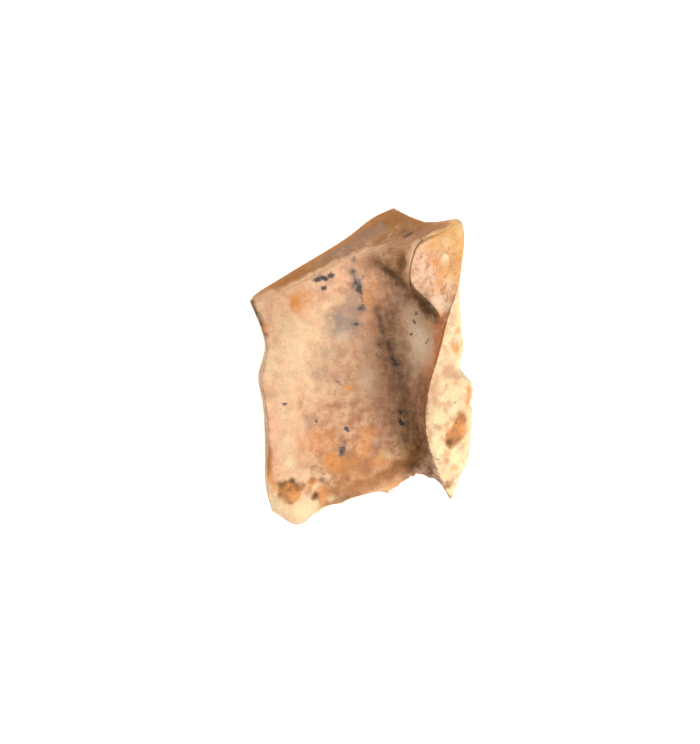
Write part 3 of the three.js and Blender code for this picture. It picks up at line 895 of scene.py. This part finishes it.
# noise patterns: size of the features, detail and roughness, some turned and drawn out along each axis
patterns = {
    "broad": {"size": 0.006, "detail": 3.0, "roughness": 0.55},
    "middling": {"size": 0.0014, "detail": 4.0, "roughness": 0.62},
    "patches": {"size": 0.0009, "detail": 5.0, "roughness": 0.66},
    "fine": {"size": 0.00042, "detail": 3.0, "roughness": 0.6},
    "grain": {"size": 0.00015, "detail": 2.0, "roughness": 0.6},
    "clots": {"size": 0.00026, "detail": 4.0, "roughness": 0.65},
    "lengthwise": {"size": 0.0004, "detail": 3.0, "roughness": 0.6, "turn": 0, "draw": (1.0, 5.0, 2.0)},
    "bandwise": {"size": 0.0005, "detail": 4.0, "roughness": 0.6, "turn": 32, "draw": (5.0, 1.0, 1.0)},
    "pores": {"size": 0.0002, "detail": 2.0, "roughness": 0.5, "turn": -12, "draw": (1.0, 4.0, 1.6)},
}

# base of each area: pattern, the values where it turns, and the two colours
bases = {
    "root": ("broad", 0.38, 0.62, "cream", "pink"),
    "cheek": ("middling", 0.40, 0.54, "cheekYellow", "cheekCream"),
    "enamel": ("warmth", 0.3, 0.95, "enamel", "enamelOrange"),
    "worn": ("bandwise", 0.36, 0.66, "worn", "wornLight"),
    "pitFill": ("middling", 0.45, 0.6, "orangeBrown", "orange"),
}

# flecks over each area: pattern, the values where it shows, strength and colour
flecks = {
    "root": [("middling", 0.46, 0.64, 0.6, "pink"), ("lengthwise", 0.5, 0.72, 0.25, "cream")],
    "cheek": [("darkPatches", 0.49, 0.6, 0.8, "cheekPink"), ("redPatches", 0.58, 0.68, 0.3, "tan")],
    "enamel": [("darkPatches", 0.52, 0.64, 0.35, "enamelOrange"),
               ("palePatches", 0.54, 0.64, 0.35, "cream")],
    "worn": [("middling", 0.5, 0.62, 0.4, "wornPale")],
    "mottled": [("darkPatches", 0.48, 0.57, 0.9, "umber"), ("redPatches", 0.53, 0.62, 0.9, "red"),
                ("palePatches", 0.53, 0.62, 0.8, "peach")],
    "pitFill": [("grain", 0.5, 0.64, 0.5, "umber"), ("redPatches", 0.55, 0.62, 0.45, "brown"),
                ("palePatches", 0.54, 0.62, 0.6, "amber")],
}

# thin lines: painted gap, reach in steps, strength and colour
thinLines = [
    ("crack", 1.25, 0.8, "brown"),
    # thin: the dark slit and tip line, and painted shadow under the lobe's end
    ("thin", 1.3, 0.8, "darkBrown"),
    ("crestFoot", 1.4, 0.4, "brown"),
    # layer: painted shade along the steps of the cheek's layers and ledges
    ("layer", 2.0, 0.5, "cheekPink"),
]

fossil = {
    "draw": (1.0, 1.0, 2.2),
    "stripStrength": 0.95,
    "stainLeast": -0.1,
    "stainSpread": 2.2,
    "lineCore": 0.3,
    "poreRange": (0.57, 0.67),
    "poreArea": (0.44, 0.56),
    "poreStrength": 0.65,
    "dotRange": (0.66, 0.74),
    "dotArea": (0.44, 0.56),
    "dotStrength": 0.5,
    "dotStrengthOnEnamel": 0.15,
    "clotSpread": 1.55,
    "greyClots": (0.3, 0.85),
    "greyStrength": 0.5,
    "blackClots": (0.6, 1.2),
    "blackStrength": 0.88,
    "shadeLeast": 0.67,
    "shadeSpread": 0.66,
    "grainInShade": 0.45,
    "fineInShade": 0.55,
    "specular": 0.32,
    "rootRoughness": 0.64,
    "enamelRoughness": 0.38,
    "roughnessSpread": 0.14,
    "bumpOf": {"fine": 0.6, "grain": 0.3, "lengthwise": 0.12, "darkPatches": 0.7, "pore": -0.25},
    "bumpStrength": 0.7,
    "bumpDistance": 0.0001,
}

print("materials")
material = bpy.data.materials.new("fossilTooth")
material.use_nodes = True
tree = material.node_tree


def setOrLink(socket, value):
    if isinstance(value, tuple):
        socket.default_value = (*value, 1.0)
    elif isinstance(value, (int, float)):
        socket.default_value = value
    else:
        tree.links.new(value, socket)


def mathNode(operation, first, second, clamp=False):
    made = tree.nodes.new("ShaderNodeMath")
    made.operation = operation
    made.use_clamp = clamp
    setOrLink(made.inputs[0], first)
    setOrLink(made.inputs[1], second)
    return made.outputs[0]


def multiply(first, second):
    return mathNode("MULTIPLY", first, second)


def add(first, second):
    return mathNode("ADD", first, second)


def rangeNode(value, low, high, outLow=0.0, outHigh=1.0):
    made = tree.nodes.new("ShaderNodeMapRange")
    made.interpolation_type = "SMOOTHSTEP"
    tree.links.new(value, made.inputs["Value"])
    for name, number in (("From Min", low), ("From Max", high), ("To Min", outLow), ("To Max", outHigh)):
        made.inputs[name].default_value = number
    return made.outputs["Result"]


def mixNode(factor, first, second, blend="MIX"):
    made = tree.nodes.new("ShaderNodeMix")
    made.data_type = "RGBA"
    made.blend_type = blend
    for place, value in ((0, factor), (6, first), (7, second)):  # the sockets of a colour mix
        setOrLink(made.inputs[place], value)
    return made.outputs[2]


def drawn(vector, turn, draw):  # coordinates turned in plan and drawn out along their own axes
    made = tree.nodes.new("ShaderNodeMapping")
    made.vector_type = "TEXTURE"
    made.inputs["Rotation"].default_value = (0.0, 0.0, math.radians(turn))
    made.inputs["Scale"].default_value = draw
    tree.links.new(vector, made.inputs["Vector"])
    return made.outputs["Vector"]


def noiseNode(vector, about):
    made = tree.nodes.new("ShaderNodeTexNoise")
    made.inputs["Scale"].default_value = 1.0 / about["size"]
    made.inputs["Detail"].default_value = about["detail"]
    made.inputs["Roughness"].default_value = about["roughness"]
    if "draw" in about:
        vector = drawn(vector, about["turn"], about["draw"])
    tree.links.new(vector, made.inputs["Vector"])
    return made


def painted(name):  # a mask painted on the surface
    if name not in tree.nodes:
        made = tree.nodes.new("ShaderNodeAttribute")
        made.name = name
        made.attribute_name = name
    return tree.nodes[name].outputs["Fac"]


def over(colour, mask, name):
    return mixNode(mask, colour, colours[name])


def makePatterns():
    where = drawn(tree.nodes.new("ShaderNodeTexCoord").outputs["Object"], 0, fossil["draw"])
    nodes = {name: noiseNode(where, about) for name, about in patterns.items()}
    made = {name: node.outputs["Fac"] for name, node in nodes.items()}
    split = tree.nodes.new("ShaderNodeSeparateColor")
    tree.links.new(nodes["patches"].outputs["Color"], split.inputs[0])
    made["darkPatches"], made["palePatches"], made["redPatches"] = split.outputs
    made["warmth"] = add(painted("enamelWarmth"), mathNode("SUBTRACT", made["middling"], 0.5))
    inPoreArea = rangeNode(made["middling"], *fossil["poreArea"])
    made["pore"] = multiply(rangeNode(made["pores"], *fossil["poreRange"]), inPoreArea)
    return made


patternOf = makePatterns()


def flecked(colour, area, mask=None):
    for pattern, low, high, strength, tint in flecks[area]:
        fleck = multiply(rangeNode(patternOf[pattern], low, high), strength)
        colour = over(colour, fleck if mask is None else multiply(mask, fleck), tint)
    return colour


def areaColour(area):
    pattern, low, high, first, second = bases[area]
    colour = mixNode(rangeNode(patternOf[pattern], low, high), colours[first], colours[second])
    return flecked(colour, area)


def toothColour():  # root, cheek side, enamel and worn crown, then the strip, the mottling and the pits
    colour = areaColour("root")
    for area in ("cheek", "enamel", "worn"):
        colour = mixNode(painted(area), colour, areaColour(area))
    colour = over(colour, multiply(painted("strip"), fossil["stripStrength"]), "strip")
    colour = flecked(colour, "mottled", painted("mottled"))
    return mixNode(painted("pitFill"), colour, areaColour("pitFill"))


# lays the stains, the painted shade and the painted highlights over the colour
def withStainsAndPaintedLight(colour):
    unevenness = add(fossil["stainLeast"], multiply(patternOf["darkPatches"], fossil["stainSpread"]))
    for name in stainsAndPaintedLight:
        mask = mathNode("MULTIPLY", painted(name + "StainAndLight"), unevenness, clamp=True)
        colour = over(colour, mask, name)
    return colour


def lined(colour):
    for name, reach, strength, tint in thinLines:
        line = rangeNode(painted(name + "Gap"), reach, reach * fossil["lineCore"])
        colour = over(colour, multiply(line, strength), tint)
    return colour


# the dark grains also carry the painted shade along the shoulder's foot
def grained(colour):  # pores in the enamel, brown dots, and dark mineral grains
    pore = multiply(patternOf["pore"], fossil["poreStrength"])
    colour = over(colour, multiply(pore, painted("enamel")), "orangeBrown")
    inDotArea = rangeNode(patternOf["redPatches"], *fossil["dotArea"])
    dots = multiply(rangeNode(patternOf["grain"], *fossil["dotRange"]), inDotArea)
    fewer = rangeNode(painted("enamel"), 0.0, 1.0, fossil["dotStrength"], fossil["dotStrengthOnEnamel"])
    colour = over(colour, multiply(dots, fewer), "brown")
    clots = multiply(mathNode("SUBTRACT", patternOf["clots"], 0.5), fossil["clotSpread"])
    speckle = add(painted("grains"), clots)
    greyClots = multiply(rangeNode(speckle, *fossil["greyClots"]), fossil["greyStrength"])
    blackClots = multiply(rangeNode(speckle, *fossil["blackClots"]), fossil["blackStrength"])
    return over(over(colour, greyClots, "blueGrey"), blackClots, "black")


def shaded(colour):  # fine light and dark grain over everything
    grain = multiply(patternOf["grain"], fossil["grainInShade"])
    fine = multiply(patternOf["fine"], fossil["fineInShade"])
    shade = add(fossil["shadeLeast"], multiply(add(grain, fine), fossil["shadeSpread"]))
    tone = tree.nodes.new("ShaderNodeCombineColor")
    for channel in tone.inputs:
        tree.links.new(shade, channel)
    return mixNode(1.0, colour, tone.outputs[0], "MULTIPLY")


def bumped():
    height = 0.0
    for name, share in fossil["bumpOf"].items():
        height = add(height, multiply(patternOf[name], share))
    bump = tree.nodes.new("ShaderNodeBump")
    bump.inputs["Strength"].default_value = fossil["bumpStrength"]
    bump.inputs["Distance"].default_value = fossil["bumpDistance"]
    tree.links.new(height, bump.inputs["Height"])
    return bump.outputs["Normal"]


shader = tree.nodes["Principled BSDF"]
gloss = rangeNode(painted("enamel"), 0.0, 1.0, fossil["rootRoughness"], fossil["enamelRoughness"])
roughness = add(gloss, multiply(patternOf["fine"], fossil["roughnessSpread"]))
tree.links.new(shaded(grained(lined(withStainsAndPaintedLight(toothColour())))), shader.inputs["Base Color"])
tree.links.new(roughness, shader.inputs["Roughness"])
tree.links.new(bumped(), shader.inputs["Normal"])
shader.inputs["Specular IOR Level"].default_value = fossil["specular"]

tooth.data.materials.clear()
tooth.data.materials.append(material)
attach(tooth, "root")
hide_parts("tooth")

# stage, light and camera

white = (1.0, 1.0, 1.0, 1.0)
stage = {
    "floorSize": 1.6,
    "floorColour": (0.93, 0.925, 0.915),
    "floorRoughness": 0.9,
    "floorGlow": 0.4,
    "air": 0.42,
}

print("stage")
floorMesh = bpy.data.meshes.new("floor")
shape = bmesh.new()
bmesh.ops.create_grid(shape, x_segments=1, y_segments=1, size=stage["floorSize"] / 2)
shape.to_mesh(floorMesh)
shape.free()
floor = bpy.data.objects.new("floor", floorMesh)
scene.collection.objects.link(floor)
floorMaterial = bpy.data.materials.new("paleFloor")
floorMaterial.use_nodes = True
floorShader = floorMaterial.node_tree.nodes["Principled BSDF"]
floorShader.inputs["Base Color"].default_value = (*stage["floorColour"], 1.0)
floorShader.inputs["Roughness"].default_value = stage["floorRoughness"]
floorShader.inputs["Emission Color"].default_value = white
floorShader.inputs["Emission Strength"].default_value = stage["floorGlow"]
floor.data.materials.append(floorMaterial)

world = bpy.data.worlds.new("air")
world.use_nodes = True
world.node_tree.nodes["Background"].inputs["Color"].default_value = white
world.node_tree.nodes["Background"].inputs["Strength"].default_value = stage["air"]
scene.world = world

lampAim = Vector((0, 0, 0.007))
lamps = {
    "keyLamp": {"place": (0.22, -0.14, 0.20), "size": 0.14, "power": 0.98, "colour": (1.0, 0.98, 0.95)},
    "fillLamp": {"place": (-0.14, 0.22, 0.30), "size": 0.26, "power": 0.66, "colour": (0.97, 0.98, 1.0)},
}
for name, lamp in lamps.items():
    light = bpy.data.lights.new(name, "AREA")
    light.size = lamp["size"]
    light.energy = lamp["power"]
    light.color = lamp["colour"]
    holder = bpy.data.objects.new(name, light)
    holder.location = lamp["place"]
    holder.rotation_euler = (lampAim - Vector(lamp["place"])).to_track_quat("-Z", "Y").to_euler()
    scene.collection.objects.link(holder)

view = {
    "lens": 400.0,
    "sensor": 36.0,
    "stepsHigh": 744,  # height of the picture in grid steps
    "across": 350.0,
    "down": 372.0,
    "focusHeight": 0.008,
    "clipStart": 0.01,
    "clipEnd": 10.0,
}
camera = bpy.data.objects.new("camera", bpy.data.cameras.new("camera"))
camera.data.lens = view["lens"]
camera.data.sensor_width = view["sensor"]
distance = view["stepsHigh"] * plan["step"] * view["lens"] / view["sensor"]
camera.location = fromPlan(view["across"], view["down"], view["focusHeight"] + distance)
camera.data.clip_start = view["clipStart"]
camera.data.clip_end = view["clipEnd"]
scene.collection.objects.link(camera)
scene.camera = camera
scene.view_settings.view_transform = "Standard"
